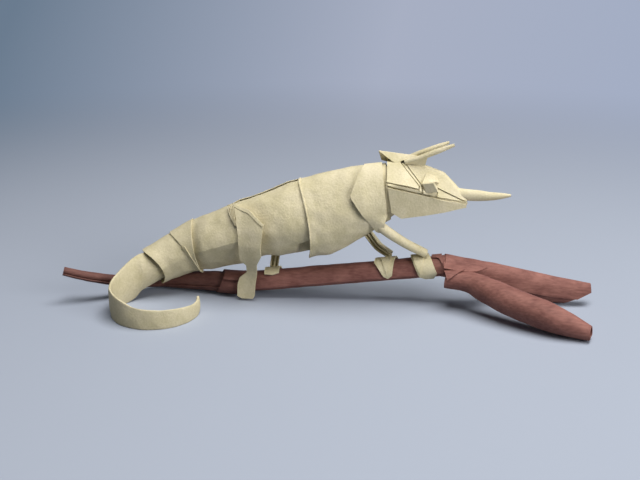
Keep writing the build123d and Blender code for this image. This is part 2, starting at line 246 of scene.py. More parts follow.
camera_data = bpy.data.cameras.new("camera")
camera_data.lens = 50.0
camera_data.sensor_width = 36.0
camera = bpy.data.objects.new("camera", camera_data)
bpy.context.scene.collection.objects.link(camera)
camera.location = Vector((0.0393, -0.4015, 0.1757))
aim = Vector((-0.0046, 0.0164, 0.0310))
camera.rotation_euler = (aim - camera.location).to_track_quat("-Z", "Y").to_euler()
bpy.context.scene.camera = camera


# Body: rings across it, each the x and z of its top and bottom and its half width

tail_seam = (-99.8, 25.0, -91.4, 6.8, 8.0)
pleat_rear = (-87.0, 32.8, -75.2, 11.8, 9.5)
pleat_front = (-76.0, 38.8, -71.6, 12.0, 10.8)
hip = (-55.6, 48.3, -49.4, 17.4, 13.4)
rib_seam = (-21.6, 61.8, -16.2, 22.2, 14.6)
chest = (-9.0, 65.6, -8.2, 23.4, 14.8)
shoulder = (10.4, 70.0, 12.4, 35.0, 13.2)
neck = (20.6, 71.0, 23.8, 43.0, 10.0)
nape = (27.5, 71.2, 28.5, 46.5, 8.2)
rib_rim = (-21.6, 60.7, -16.2, 25.6, 13.4)
rib_inside = (-11.0, 62.6, -9.0, 28.0, 12.4)

# The rear of the body bends towards the viewer and runs into the tail's curl
curl_radius = 20.5
curl_x = -88.6                       # the curl's centre
curl_y = -27.3
curl_start = 128.0                   # degrees round the curl where the bend runs into it
bend_turn = math.radians(curl_start - 90)
curl_start_x = curl_x + curl_radius * math.cos(math.radians(curl_start))
curl_start_y = curl_y + curl_radius * math.sin(math.radians(curl_start))
bend_radius = -curl_start_y / (1 - math.cos(bend_turn))
bend_start = curl_start_x + bend_radius * math.sin(bend_turn)


def sideways(x):
    """Y and turn of the body's middle at x."""
    if x >= bend_start:
        return 0.0, 0.0
    turn = math.asin((bend_start - x) / bend_radius)
    return bend_radius * (math.cos(turn) - 1), turn


def sag(x):
    """How far the widest line hangs below the middle at x, as a share of half the height."""
    return 0.25 * ease(x, -45, -18) * ease(x, 26, 12)


def ring_point(ring, angle, lift=0.0, keel=0.0):
    """Point on a ring: 0 degrees is the top, 90 the near side, 180 the belly.

    keel flattens the lower flank towards a straight line from side to belly.
    """
    top_x, top_z, low_x, low_z, half = ring
    middle_x = (top_x + low_x) / 2
    middle_z = (top_z + low_z) / 2
    tall = math.hypot(top_x - low_x, top_z - low_z) / 2
    lean = math.atan2(low_x - top_x, top_z - low_z)
    y, turn = sideways(middle_x)
    swing = math.radians(angle)
    across = math.sin(swing)
    rise = math.cos(swing)
    if rise < 0:
        total = abs(across) + abs(rise)
        across += keel * (across / total - across)
        rise += keel * (rise / total - rise)
    rise -= sag(middle_x) * across * across
    far_side = Vector((-math.sin(turn), math.cos(turn), 0))
    up = Vector((
        -math.sin(lean) * math.cos(turn),
        -math.sin(lean) * math.sin(turn),
        math.cos(lean),
    ))
    middle = Vector((middle_x, y, middle_z))
    return middle - far_side * across * (half + lift) + up * rise * (tall + lift)


def ring_knots(rings):
    """Distances between the middles of rings."""
    middles = [((ring[0] + ring[2]) / 2, 0, (ring[1] + ring[3]) / 2) for ring in rings]
    return lengths_along(middles)


def sleeve_rows(rings, curve, angles, lift, keel, start=None):
    """Rows of points of a sleeve; lift is a function of the way from its rim and of the angle.

    start gives how far along the rings the rim lies at each angle.
    """
    knots = ring_knots(rings)
    count = max(2, round(knots[-1] / row_step))
    rows = []
    for number in range(count + 1):
        row = []
        for angle in angles:
            rim = start(angle) if start else 0.0
            distance = rim + (knots[-1] - rim) * number / count
            ring = curve(knots, rings, distance)
            row.append(ring_point(ring, angle, lift(distance - rim, angle), keel))
        rows.append(row)
    return rows


def past(ring_a, ring_b, distance):
    """The ring a distance from ring_a towards ring_b, or away from it."""
    length = ring_knots([ring_a, ring_b])[-1]
    share = distance / length
    return tuple(a + share * (b - a) for a, b in zip(ring_a, ring_b))


body_rings = [tail_seam, pleat_rear, pleat_front, hip, rib_seam, chest, shoulder, neck, nape]
body_knots = ring_knots(body_rings)
facets_around = 120
around = [360.0 * number / facets_around for number in range(facets_around)]


def on_body(x, z, lift, side=near):
    """Point on the body's side that shows at x and z in a side view, lifted off it."""
    low = 0.0
    high = body_knots[-1]
    for _ in range(30):
        distance = (low + high) / 2
        top_x, top_z, low_x, low_z, half = straight(body_knots, body_rings, distance)
        if (low_x - top_x) * (z - top_z) - (low_z - top_z) * (x - top_x) > 0:
            low = distance
        else:
            high = distance
    middle = Vector(((top_x + low_x) / 2, (top_z + low_z) / 2))
    up = Vector((top_x, top_z)) - middle
    level = min(max((Vector((x, z)) - middle).dot(up) / up.length_squared, -1.0), 1.0)
    hang = sag(middle.x)
    if hang > 0.001:
        level = (math.sqrt(1 + 4 * hang * (hang + level)) - 1) / (2 * hang)
    angle = math.degrees(math.acos(min(max(level, -1.0), 1.0)))
    ring = (top_x, top_z, low_x, low_z, half)
    return ring_point(ring, angle if side == near else -angle, lift)


# Rear sleeve, from the tail seam to the pleat

def rear_flare(distance, angle):
    """The rim stands off the tail inside it."""
    return 0.5 * ease(distance, 5, 0)


def rear_start(angle):
    """The rim is cut back on the flanks."""
    return 3.0 * math.sin(math.radians(angle)) ** 2


rear_rows = sleeve_rows(
    [tail_seam, pleat_rear, pleat_front], straight, around, rear_flare, keel=0.3, start=rear_start,
)
fold(cream_folds, *lattice(rear_rows, closed=True), paper_thick, dents=0.65)


# Pleat: a raised band whose rear edge runs round to its front one

pleat_steps = 12
pleat_end = 1.03                     # just past the front line


def pleat_start(angle):
    """How far round the pleat's rear edge has moved to its front edge, from 0 to 1."""
    return 0.95 * ease(abs((angle + 180) % 360 - 180), -10, 170)


def pleat_rows(angles, low_lift, high_lift, shift=0.0, width=None):
    """A band from the pleat's rear edge, moved by shift, to its end or as wide as a share."""
    rows = []
    for number in range(pleat_steps + 1):
        lift = low_lift + (high_lift - low_lift) * number / pleat_steps
        row = []
        for angle in angles:
            start = pleat_start(angle) + shift
            end = start + width if width else pleat_end
            share = start + (end - start) * number / pleat_steps
            ring = tuple(a + share * (b - a) for a, b in zip(pleat_rear, pleat_front))
            row.append(ring_point(ring, angle, lift, keel=0.3))
        rows.append(row)
    return rows


pleat = pleat_rows(around, low_lift=0.5, high_lift=0.7)
fold(cream_folds, *lattice(pleat, closed=True), paper_thick)

# Two crumpled layers show along the pleat's rear edge, low on the near flank
lower_flank = [66.0 + 1.5 * number for number in range(60)]
for shift, lift in [(-0.1, 0.3), (0.0, 0.75)]:
    crumple = pleat_rows(lower_flank, lift, lift + 0.4, shift, width=0.12)
    fold(cream_folds, *lattice(crumple), thin_edge)


# Hip sleeve, from under the pleat to the thigh, with a soft crease along its flank

def flank_crease(distance, angle):
    """The flank is creased from side to belly, and the rear end sinks under the pleat."""
    sunk = 1.2 * ease(distance, 9, 2) * ease(abs(angle - 180), 174, 145)
    crease = max(1 - abs(abs(angle - 180) - 88) / 36, 0.0)
    return crease * ease(distance, 4, 10) - sunk


hip_rows = sleeve_rows(
    [past(pleat_front, hip, -3.0), pleat_front, hip, past(hip, rib_rim, 4.5)],
    straight, around, flank_crease, keel=0.75,
)
fold(cream_folds, *lattice(hip_rows, closed=True), paper_thick, dents=0.8)


# Flank sleeve, from the thigh to inside the ribs, with the sheet's edges along the back

def spine_lift(distance, angle):
    """How far the sleeve stands off its rings.

    The far edge lies over the near one, the thigh's end sinks, and the lower flank turns under
    before the ribs.
    """
    down = abs(angle - 180)
    edge = 0.8 * ease(angle, 350, 359)
    sunk = 1.6 * ease(distance, 24, 13) * ease(down, 168, 135) + 0.5 * ease(distance, 6, 2)
    rising = 1.0 * ease(distance, 22, 32) * ease(down, 80, 110)
    pinch = 6.0 * ease(distance, 31, 39) * ease(down, 70, 54) * ease(down, 8, 30)
    return edge + rising - sunk - pinch


# This sleeve isn't closed: its two edges meet along the back
open_around = [0.8 + 358.4 * number / (facets_around - 1) for number in range(facets_around)]
flank_rows = sleeve_rows(
    [past(hip, rib_rim, -2.0), hip, rib_rim, rib_inside],
    straight, open_around, spine_lift, keel=0.25,
)
fold(cream_folds, *lattice(flank_rows), paper_thick, dents=0.75)


# Rib sleeve, from its rim to the neck, and the throat that runs on into the head

def rim_flare(distance, angle):
    """The rim opens slightly."""
    return 0.5 * ease(distance, 5, 0)


def rim_start(angle):
    """The rim is cut back on the flanks."""
    return 4.0 * math.sin(math.radians(angle)) ** 2


def throat_lift(distance, angle):
    """The throat lies inside the rib sleeve and the jaw."""
    return -1.2


rib_rows = sleeve_rows(
    [rib_seam, chest, shoulder, past(neck, nape, 0.3)],
    smooth, around, rim_flare, keel=0.2, start=rim_start,
)
fold(cream_folds, *lattice(rib_rows, closed=True), paper_thick, dents=0.75)

throat_rows = sleeve_rows(
    [past(neck, shoulder, 4.0), neck, nape], straight, around, throat_lift, keel=0.2,
)
fold(cream_folds, *lattice(throat_rows, closed=True), paper_thick, dents=0.2)


def hem_rows():
    """A narrow turned-over edge along the rib sleeve's rim."""
    rings = [rib_seam, chest, shoulder, neck]
    knots = ring_knots(rings)
    rows = []
    for reach in (0.05, 0.35, 0.65):
        row = []
        for angle in around:
            ring = smooth(knots, rings, rim_start(angle) + reach)
            row.append(ring_point(ring, angle, lift=0.85, keel=0.2))
        rows.append(row)
    return rows


fold(cream_folds, *lattice(hem_rows(), closed=True), thin_edge, dents=0.75)


# Tail: a flat roll on its edge, curled towards the viewer

# Round the curl in degrees: the heights of its lower and upper edges and its thickness
tail_angles = [113, 121, 128, 140, 153, 170, 190, 210, 232, 254, 278, 302, 326, 348, 358, 363, 368]
tail_bottoms = [10.0, 7.0, 4.4, 1.2] + [0.0] * 11 + [0.6, 2.0]
tail_tops = [26.9, 25.0, 24.0, 22.2, 19.6, 16.6, 15.0, 14.4, 13.0]
tail_tops += [11.1, 9.9, 9.4, 8.4, 7.4, 7.2, 9.0, 8.4]
tail_thicks = [11.6, 11.0, 8.8, 5.6, 3.4, 2.2, 1.6] + [1.4] * 6 + [1.3, 1.3, 1.6, 1.2]
tail_stops = list(zip(tail_bottoms, tail_tops, tail_thicks))


def tail_point(angle, height, out):
    """Point of the tail at an angle round the curl; out is the distance from its middle."""
    swing = math.radians(angle)
    if angle >= curl_start:
        stretch = 1.2 * ease(angle, 140, 180) * ease(angle, 260, 200)
        x = curl_x + (curl_radius + out) * math.cos(swing) - stretch
        y = curl_y + (curl_radius + out) * math.sin(swing)
    else:
        x = bend_start + (bend_radius + out) * math.cos(swing)
        y = -bend_radius + (bend_radius + out) * math.sin(swing)
    return Vector((x, y, height))


def tail_rows():
    """Rings of the tail's lens section, from inside the rear sleeve to the tip."""
    count = 200
    facets = 32
    edge_half = 0.35
    rows = []
    for number in range(count + 1):
        angle = tail_angles[0] + (tail_angles[-1] - tail_angles[0]) * number / count
        bottom, top, thick = smooth(tail_angles, tail_stops, angle)
        middle = (bottom + top) / 2
        tall = (top - bottom) / 2
        row = []
        for step in range(facets):
            swing = 2 * math.pi * step / facets
            rise = math.cos(swing)
            bulge = 1 - abs(rise) ** 2.2
            edge = min(edge_half, thick / 3) * min(1.0, abs(math.sin(swing)) * 4)
            half = edge + (thick / 2 - edge) * bulge
            out = math.copysign(half, math.sin(swing))
            row.append(tail_point(angle, middle + tall * rise, out))
        rows.append(row)
    return rows


fold(cream_folds, *lattice(tail_rows(), closed=True), closed_skin, dents=0.4)


# Near hind leg: thigh and shank in one hanging strip

# How far towards the viewer the strip hangs at each height
hang_heights = [0.0, 12.5, 16.5, 26.0, 33.0, 40.0]
hang_depths = [(7.4,), (7.4,), (8.2,), (12.8,), (14.4,), (14.4,)]


def hind_point(x, z, lift):
    """The strip follows the body above, then hangs down beside the branch."""
    on_skin = on_body(x, z, lift)
    depth = smooth(hang_heights, hang_depths, z)[0] + lift - 0.6
    free = Vector((x, -depth, z))
    return free.lerp(on_skin, ease(z, 32, 42))


def thigh_point(x, z):
    """The strip's front edge stands further off the body than its rear one."""
    return hind_point(x, z, 1.6 + 1.4 * ease(x, -49, -38))


def thigh_hem_point(x, z):
    """The turned-over edge at the thigh's top lies just outside it."""
    return thigh_point(x, z) + Vector((0, -0.28, 0.1))


thigh = [(-52.7, 48.6), (-50.6, 43.6), (-49.5, 36.7), (-49.3, 30.5), (-49.4, 23.4), (-46.6, 20.4)]
thigh += [(-46.8, 15.9), (-50.7, 12.6), (-51.8, 9.0), (-52.2, 2.6), (-49.7, 1.3), (-44.2, 1.4)]
thigh += [(-43.3, 3.0), (-42.7, 9.5), (-41.7, 14.8), (-41.1, 21.0), (-38.3, 26.4), (-38.4, 30.9)]
thigh += [(-37.8, 35.3), (-36.6, 42.4), (-44.3, 47.4)]
thigh_hem = [(-52.1, 48.4), (-44.3, 47.6), (-36.5, 42.5)]
thigh_hem += [(-37.1, 41.4), (-44.6, 46.3), (-52.2, 47.6)]
flap(cream_folds, thigh, thigh_point, thick=0.7)
flap(cream_folds, thigh_hem, thigh_hem_point, thick=0.5)

# Narrow slivers of folds behind the thigh's top, which run together below
for number in range(4):
    def sliver_point(x, z):
        return hind_point(x, z, 0.7 + 0.2 * number)

    top = -56.2 + 0.95 * number
    rise = 47.3 + 0.4 * number
    foot = -51.5 + 0.35 * number
    sliver = [(top, rise), (foot, 41.0), (foot + 0.2, 41.0), (top + 0.45, rise + 0.2)]
    flap(cream_folds, sliver, sliver_point, thick=0.8, step=0.8, dents=0.0)


# Near front leg: the shoulder's kite over the ribs

# How far towards the viewer the kite's tip stands at each height
kite_heights = [37.0, 42.0, 47.0, 52.0]
kite_depths = [(8.4,), (10.2,), (12.0,), (12.6,)]


def shoulder_point(x, z):
    """The kite follows the body above, and its tip runs down into the forearm."""
    lift = 0.9 + 1.2 * ease(x - 0.6 * (z - 45), 14, 4)
    depth = smooth(kite_heights, kite_depths, z)[0] + lift - 0.5
    return Vector((x, -depth, z)).lerp(on_body(x, z, lift), ease(z, 43, 50))


kite = [(10.9, 69.4), (8.1, 64.9), (5.1, 58.2), (5.2, 56.3), (9.1, 51.5), (12.8, 46.4)]
kite += [(17.2, 39.6), (18.8, 38.9), (21.0, 41.6), (22.2, 48.0), (21.6, 55.7), (20.2, 65.1)]
kite += [(19.4, 70.4)]
flap(cream_folds, kite, shoulder_point, thick=0.6)


# Rolls: the near forearm and the three horns

def roll_frame(knots, stops, curve, distance, reach):
    """Middle, sideways and upward directions and the remaining values of a roll."""
    values = curve(knots, stops, distance)
    before = Vector(curve(knots, stops, max(distance - reach, 0.0))[:3])
    after = Vector(curve(knots, stops, min(distance + reach, knots[-1]))[:3])
    along = (after - before).normalized()
    level = Vector((0, 0, 1)).cross(along).normalized()
    return Vector(values[:3]), level, along.cross(level), values[3:]


def roll_rows(stops, start_angle, turns, tight, step=1.0, facets=48, shape=None):
    """Rows of a rolled sheet; 0 degrees is the far side and 90 the top.

    Each stop gives the x, y and z of the roll's middle, then half its width and height.
    The sheet starts at start_angle on the outside and winds inwards by tight in each turn.
    shape gives what the turns wound so far add to its radius.
    """
    knots = lengths_along(stops)
    count = max(2, round(knots[-1] / step))
    rows = []
    for number in range(count + 1):
        distance = knots[-1] * number / count
        middle, level, up, values = roll_frame(knots, stops, smooth, distance, 1.5)
        row = []
        for part in range(facets + 1):
            wound = turns * part / facets
            swing = math.radians(start_angle - 360 * wound)
            extra = shape(wound) if shape else 0.0
            half = values[0] - tight * wound + extra
            tall = values[1] - tight * wound + extra
            row.append(middle + level * half * math.cos(swing) + up * tall * math.sin(swing))
        rows.append(row)
    return rows


near_forearm = [
    (17.4, -8.4, 43.6, 1.8, 2.0),
    (21.0, -8.6, 40.6, 2.4, 2.5),
    (31.0, -6.2, 33.2, 2.35, 2.4),
    (41.4, -2.4, 26.8, 2.2, 2.2),
]
forearm_rows = roll_rows(near_forearm, start_angle=235, turns=1.4, tight=0.5)
fold(cream_folds, *lattice(forearm_rows), paper_thick, dents=0.2)

near_horn = [
    (30.0, -3.0, 72.9, 1.2, 1.0),
    (36.5, -3.6, 75.1, 1.2, 1.1),
    (44.5, -4.0, 78.5, 1.1, 1.1),
    (53.0, -4.2, 82.0, 0.6, 0.6),
]
far_horn = [
    (30.0, 2.4, 73.4, 1.2, 1.0),
    (36.5, 2.2, 76.1, 1.2, 1.1),
    (44.5, 2.6, 79.3, 1.0, 0.9),
    (50.8, 3.0, 81.6, 0.6, 0.6),
]
nose_horn = [
    (55.0, 0.0, 57.2, 2.3, 2.9),
    (63.0, 0.0, 56.5, 2.0, 2.75),
    (71.5, 0.0, 56.3, 1.5, 1.9),
    (81.2, 0.0, 57.0, 0.55, 0.55),
]
for horn in (near_horn, far_horn, nose_horn):
    horn_rows = roll_rows(horn, start_angle=250, turns=1.3, tight=0.35, step=0.8, facets=28)
    fold(cream_folds, *lattice(horn_rows), thin_edge, dents=0.25)


# Far legs: strips folded to two channels that open to the viewer, with a rib between them

# The section seen from the strip's end, as shares of its depth and half width
trough = [(0.0, -1.0), (1.0, -0.85), (1.0, -0.2), (0.2, -0.1)]
trough += [(0.2, 0.1), (1.0, 0.2), (1.0, 0.85), (0.0, 1.0)]


def channel_rows(stops, turned=False):
    """Rows of a strip folded to the trough's section; a turned one runs straight down."""
    knots = lengths_along(stops)
    steps = 24
    rows = []
    for number in range(steps + 1):
        distance = knots[-1] * number / steps
        middle, level, up, (deep, half) = roll_frame(knots, stops, smooth, distance, 1.5)
        if turned:
            level, up = -up, level
        corners = []
        for (a_out, a_up), (b_out, b_up) in zip(trough, trough[1:]):
            for share in (0.0, 0.34, 0.67):
                corners.append((a_out + share * (b_out - a_out), a_up + share * (b_up - a_up)))
        corners.append(trough[-1])
        rows.append([
            middle + level * (deep * out) + up * (half * rise) for out, rise in corners
        ])
    return rows


far_forearm = [
    (8.0, 8.0, 40.0, 2.8, 1.9),
    (12.6, 7.6, 32.2, 2.8, 1.9),
    (18.3, 5.2, 25.8, 2.8, 1.8),
    (23.4, 1.2, 23.9, 2.6, 1.6),
]
fold(cream_folds, *lattice(channel_rows(far_forearm)), paper_thick, dents=0.1)

far_hind = [
    (-34.9, 11.4, 40.0, 2.2, 2.2),
    (-34.9, 12.4, 33.0, 2.4, 2.2),
    (-34.9, 12.0, 26.0, 2.4, 2.1),
    (-34.9, 7.6, 19.0, 2.4, 2.0),
    (-34.9, 2.6, 15.4, 2.2, 1.9),
]
fold(cream_folds, *lattice(channel_rows(far_hind, turned=True)), paper_thick, dents=0.1)


# Branch: stem, knuckle, thin left end and two leaves, all rolled from one sheet

branch_radius = 5.5
branch_low = (-54.0, 6.3)            # x and z of the stem's ends, on its axis
branch_high = (52.0, 20.0)
branch_run = branch_high[0] - branch_low[0]
branch_rise = branch_high[1] - branch_low[1]
branch_slope = math.atan2(branch_rise, branch_run)


def branch_point(x, angle, radius):
    """Point near the branch by its side-view x on the axis; 90 degrees is the top."""
    share = (x - branch_low[0]) / branch_run
    swing = math.radians(angle)
    middle = Vector((x, 0, branch_low[1] + share * branch_rise))
    up = Vector((-math.sin(branch_slope), 0, math.cos(branch_slope)))
    return middle + Vector((0, 1, 0)) * radius * math.cos(swing) + up * radius * math.sin(swing)


def free_edge(reach, height):
    """Lifts the outer edge of a roll off the turn below it."""
    def shape(wound):
        return height * ease(wound, reach, 0)
    return shape


stem = [
    (branch_low[0] + 2, 0.0, branch_low[1] + 0.3, 5.2, 5.2),
    (-40.0, 0.0, 8.1, 5.25, 5.25),
    (branch_high[0] + 1.0, 0.0, branch_high[1], 5.25, 5.25),
]
stem_rows = roll_rows(
    stem, start_angle=202, turns=1.25, tight=0.6, step=1.5, facets=64, shape=free_edge(0.06, 0.45),
)
fold(brown_folds, *lattice(stem_rows), brown_thick, dents=0.3)

knuckle = [
    (-67.5, -0.5, 7.2, 4.9, 5.4),
    (-62.0, -0.6, 7.0, 6.0, 6.2),
    (-55.0, -0.8, 6.7, 6.1, 6.2),
    (-47.0, -0.2, 7.2, 5.7, 5.7),
]
knuckle_end = [(Vector((-65.8, 0, 0)), Vector((-1.0, -0.25, 0.45)))]
knuckle_rows = roll_rows(knuckle, start_angle=150, turns=1.2, tight=0.9, shape=free_edge(0.08, 0.6))
fold(brown_folds, *lattice(knuckle_rows), brown_thick, dents=0.35, cuts=knuckle_end)

thin_end = [
    (-53.5, 0.2, 6.9, 4.4, 4.6),
    (-64.0, 0.4, 6.9, 4.8, 5.2),
    (-78.0, 2.4, 6.0, 4.5, 4.7),
    (-92.0, 3.0, 5.5, 3.8, 3.8),
    (-104.0, -3.6, 6.6, 3.2, 3.2),
    (-117.0, -13.0, 10.8, 2.7, 2.7),
    (-127.0, -18.0, 14.2, 2.4, 2.4),
    (-137.0, -20.6, 17.4, 2.2, 2.2),
]
thin_rows = roll_rows(thin_end, start_angle=-20, turns=1.3, tight=0.8, facets=40)
fold(brown_folds, *lattice(thin_rows), brown_thin, dents=0.3)

rear_leaf = [
    (50.5, 0.0, 19.8, 6.0, 5.9),
    (60.0, 0.5, 18.0, 5.4, 6.0),
    (76.0, 2.0, 14.6, 4.6, 6.4),
    (95.0, 3.5, 9.7, 4.2, 7.1),
    (109.0, 4.3, 7.2, 3.7, 6.8),
    (127.0, 5.0, 5.3, 2.8, 5.2),
]
rear_leaf_end = [
    (Vector((109.6, 0, 0.0)), Vector((0.46, 0, -0.89))),
    (Vector((124.0, 0, 7.9)), Vector((1.0, 0, 0.1))),
]
rear_leaf_rows = roll_rows(
    rear_leaf, start_angle=200, turns=1.2, tight=0.8, step=1.2, facets=56,
    shape=free_edge(0.06, 0.4),
)
fold(brown_folds, *lattice(rear_leaf_rows), brown_thick, dents=0.35, cuts=rear_leaf_end)

front_leaf = [
    (49.5, -7.6, 15.3, 3.7, 3.7),
    (58.0, -8.4, 15.5, 4.6, 4.6),
    (63.5, -9.4, 15.2, 5.2, 5.2),
    (71.0, -14.0, 13.6, 6.1, 6.1),
    (82.0, -22.0, 11.4, 6.9, 6.9),
    (97.0, -31.0, 8.8, 6.8, 6.8),
    (107.0, -35.5, 6.7, 5.6, 5.6),
    (117.4, -39.4, 4.0, 3.2, 3.3),
]
front_leaf_ends = [
    (Vector((51.2, -10.5, 14.6)), Vector((-0.95, 0.25, 0.1))),
    (Vector((116.4, -41.0, 4.0)), Vector((0.95, -0.35, 0.1))),
]
front_leaf_rows = roll_rows(
    front_leaf, start_angle=285, turns=1.25, tight=0.9, step=1.2, facets=64,
)
fold(brown_folds, *lattice(front_leaf_rows), brown_thick, dents=0.35, cuts=front_leaf_ends)


# Loose corners of the brown sheet where it forks: a lip over the front leaf, a collar on the
# stem, and a corner on the front leaf's rear end

# How far the lip reaches out at each x
lip_x = [50.6, 60.0, 66.0, 72.0]
lip_reach = [(5.0,), (5.2,), (4.0,), (0.3,)]


def fork_lip_rows():
    """The rear leaf's rim leans out over the front leaf."""
    steps = 24
    rows = []
    for number in range(steps + 1):
        x = lip_x[0] + (lip_x[-1] - lip_x[0]) * number / steps
        reach = smooth(lip_x, lip_reach, x)[0]
        root = 23.6 - 0.12 * (x - lip_x[0])
        row = []
        for share in (0.0, 0.25, 0.5, 0.75, 1.0):
            row.append(Vector((x, -3.6 - reach * share, root - 0.42 * reach * share)))
        rows.append(row)
    return rows


def collar_point(x, tens):
    """Point just off the stem, by x and tens of degrees round it."""
    return branch_point(x, tens * 10, branch_radius + 0.5)


def tab_point(x, tens):
    """Point just off the front leaf's rear end, by x and tens of degrees round it."""
    swing = math.radians(tens * 10)
    radius = 4.7 + 0.09 * (x - 50.0)
    return Vector((x, -7.9 + radius * math.cos(swing), 15.4 + radius * math.sin(swing)))


collar = [(45.4, 8.6), (50.4, 8.4), (50.4, 15.6), (49.0, 12.4), (47.8, 11.6), (45.6, 11.4)]
tab = [(50.6, 9.0), (61.0, 9.0), (52.2, 16.4)]
fold(brown_folds, *lattice(fork_lip_rows()), brown_thin, dents=0.1)
flap(brown_folds, collar, collar_point, thick=0.4, dents=0.1)
flap(brown_folds, tab, tab_point, thick=0.45, dents=0.1)


# Paws: bands folded round the branch

def paw(outline, lift=0.9, thick=0.8):
    """A band on the branch; its outline gives x and tens of degrees round the branch."""
    def paw_point(x, tens):
        return branch_point(x, tens * 10, branch_radius + lift)
    flap(cream_folds, outline, paw_point, thick, step=0.9, dents=0.15)


near_paw = [(35.2, -6.0), (43.6, -6.0), (44.2, 9.5), (45.6, 14.0), (47.2, 19.5), (45.4, 22.4)]
near_paw += [(41.4, 22.2), (38.6, 20.6), (36.4, 14.5), (35.2, 10.0)]
near_cuff = [(35.8, 9.0), (42.6, 9.0), (41.0, 14.0), (39.0, 19.4), (37.0, 14.6)]
far_paw = [(23.6, -6.0), (30.4, -6.0), (27.6, 9.0), (25.4, 18.6)]
far_paw += [(23.2, 20.0), (21.0, 18.6), (17.2, 12.0), (17.6, 9.0)]
far_cuff = [(20.0, 9.0), (26.0, 9.0), (24.4, 15.0), (22.6, 17.4)]
far_hind_paw = [(-38.2, 4.0), (-30.6, 4.0), (-30.8, 13.0), (-34.0, 13.8), (-38.2, 13.2)]
paw(near_paw)
paw(near_cuff, lift=1.5, thick=0.4)
paw(far_paw)
paw(far_cuff, lift=1.5, thick=0.4)
paw(far_hind_paw)


# Head: at each x the heights of ridge, cheek and jaw, then their half widths

head_x = [21.6, 29.0, 40.0, 49.0, 55.0, 60.4]
head_stops = [
    (72.0, 63.2, 49.2, 2.6, 11.6, 10.0),
    (72.2, 63.2, 46.5, 2.6, 10.8, 9.2),
    (69.8, 60.0, 48.0, 2.2, 9.2, 7.8),
    (66.6, 56.0, 49.2, 1.8, 6.8, 5.8),
    (60.6, 53.8, 50.2, 1.5, 4.2, 3.6),
    (54.4, 52.6, 50.8, 0.9, 1.8, 1.6),
]


def on_head(x, z, lift, side=near):
    """Point on the head's side that shows at x and z in a side view, lifted off it.

    Heights beyond the ridge's run on over its flat top to the middle.
    """
    ridge, cheek, jaw, ridge_half, cheek_half, jaw_half = straight(head_x, head_stops, x)
    if z >= cheek:
        share = (min(z, ridge) - cheek) / (ridge - cheek)
        half = cheek_half + share * (ridge_half - cheek_half)
        slope = Vector((ridge - cheek, cheek_half - ridge_half)).normalized()
    else:
        share = (cheek - max(z, jaw)) / (cheek - jaw)
        half = cheek_half + share * (jaw_half - cheek_half)
        slope = Vector((cheek - jaw, jaw_half - cheek_half)).normalized()
    out = half + lift * slope.x
    over = min(max(z - ridge, 0.0) / ridge_half, 1.0)
    height = min(max(z, jaw), ridge) + lift * (slope.y + over * (1 - slope.y))
    return Vector((x, side * out * (1 - over), height))


def head_core_rows(shrink):
    """Closed rings of the head under its plates, drawn together at the snout."""
    steps = 39
    rows = []
    for number in range(steps + 2):
        x = head_x[0] + (head_x[-1] - head_x[0]) * min(number, steps) / steps
        ridge, cheek, jaw, ridge_half, cheek_half, jaw_half = straight(head_x, head_stops, x)
        near_half = [
            (0.0, ridge - shrink),
            (max(ridge_half - shrink, 0.3), ridge - shrink),
            (max(cheek_half - shrink, 0.5), cheek),
            (max(jaw_half - shrink, 0.4), jaw + shrink),
            (0.0, jaw + shrink),
        ]
        loop = near_half + [(-y, z) for y, z in near_half[-2:0:-1]]
        size = 1.0 if number <= steps else 0.1
        tip_x = x + 0.3 * (1 - size)
        rows.append([Vector((tip_x, y * size, cheek + (z - cheek) * size)) for y, z in loop])
    return rows


fold(cream_folds, *lattice(head_core_rows(shrink=0.9), closed=True), closed_skin, dents=0.0)


def plate(outline, lift, thick=paper_thick):
    """Flat plate laid on both sides of the head."""
    for side in (near, far):
        def to_space(x, z):
            return on_head(x, z, lift, side)
        flap(cream_folds, outline, to_space, thick, step=0.8, dents=0.15)


def crest(x):
    """Corner of a plate on the ridge's middle line at x."""
    section = straight(head_x, head_stops, x)
    ridge = section[0]
    ridge_half = section[3]
    return (x, ridge + ridge_half)


# The mouth is the gap between the plates above it and the jaw's plate
cheek_plate = [(21.9, 64.4), (30.0, 63.1), (36.8, 61.3), (36.9, 62.5), (27.9, 72.2)]
cheek_plate += [crest(27.5), crest(21.5)]
brow_plate = [(38.5, 62.7), (39.3, 59.4), (45.5, 57.7), (45.9, 61.2)]
brow_plate += [(51.0, 58.5), (58.4, 54.5), (60.2, 53.8)]
brow_plate += [crest(60.2), crest(55.0), crest(49.0), crest(40.0), crest(30.6), (30.5, 71.8)]
strap = [(28.5, 72.0), (30.0, 71.8), (38.0, 62.8), (38.6, 60.0), (37.4, 60.5), (37.4, 62.4)]
gum = [(22.3, 64.0), (22.3, 63.3), (30.1, 61.4), (38.6, 59.3), (37.0, 60.8), (30.0, 62.6)]
lip = [(45.9, 57.3), (49.7, 56.3), (59.7, 53.5), (58.3, 54.0), (51.0, 58.0), (46.3, 60.6)]
jaw_plate = [(22.4, 62.3), (30.1, 60.5), (39.1, 58.3), (49.7, 55.4), (59.9, 52.6), (60.2, 50.9)]
jaw_plate += [(49.0, 49.2), (40.0, 48.0), (29.2, 46.6), (24.4, 49.6)]
plate(cheek_plate, lift=0.5)
plate(brow_plate, lift=0.5)
plate(strap, lift=0.25)
plate(gum, lift=0.2)
plate(lip, lift=0.1)
plate(jaw_plate, lift=0.3, thick=0.6)


# Hood: a small tent over the back of the head, open behind

def hood_point(x, down, side):
    """Point on the tent: its ridge falls towards the snout and its wings slope down."""
    ridge = 77.4 - 0.11 * (x - 16.0)
    return Vector((x, side * (0.2 + 0.6 * down), ridge - 0.85 * down))


def hood_near(x, down):
    """The tent's near wing."""
    return hood_point(x, down, near)


def hood_far(x, down):
    """The tent's far wing."""
    return hood_point(x, down, far)


